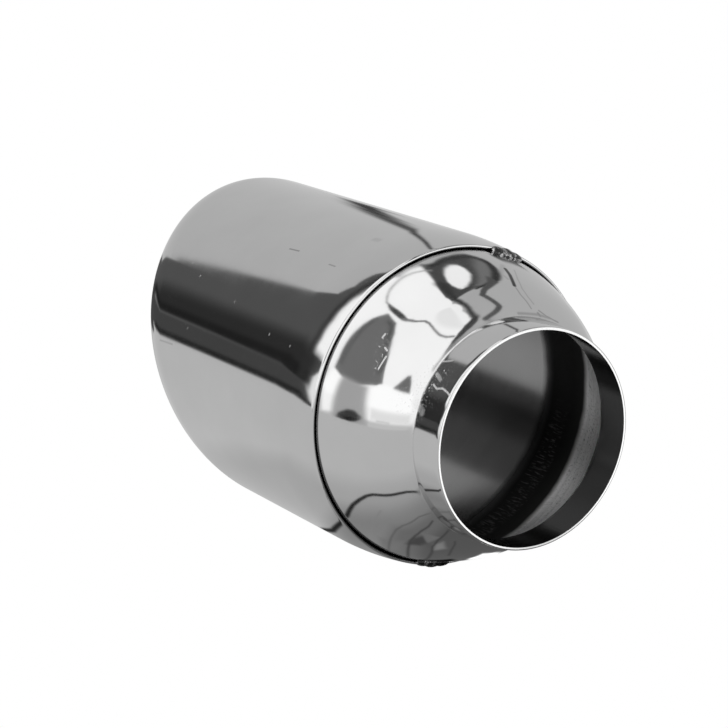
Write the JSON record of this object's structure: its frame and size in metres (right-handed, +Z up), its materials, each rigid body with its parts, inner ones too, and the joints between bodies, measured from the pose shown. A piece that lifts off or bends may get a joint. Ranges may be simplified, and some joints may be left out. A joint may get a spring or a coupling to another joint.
{
  "type": "exhaust tip",
  "caption": "Polished round exhaust tip: a tubular shell with a slanted, rolled-in outlet, closed at the inlet by a domed cap whose short neck takes the tailpipe.",
  "frame": {"origin": "centre of the inlet neck's rim, where the tailpipe enters", "axes": "+X along the tip's axis from the inlet to the outlet, +Z up towards the long side of the slanted outlet, +Y to the left seen from the inlet"},
  "size_m": [0.1794, 0.1016, 0.1016],
  "materials": {
    "polished_shell": "mirror-polished stainless steel",
    "polished_cap": "spun stainless steel, polished outside and drawn inside",
    "weld_bead": "burnt tack weld"
  },
  "bodies": {
    "root": {"outer_shell": "polished_shell", "inlet_cap": "polished_cap", "tack_weld_top": "weld_bead", "tack_weld_bottom": "weld_bead"}
  },
  "joints": []
}
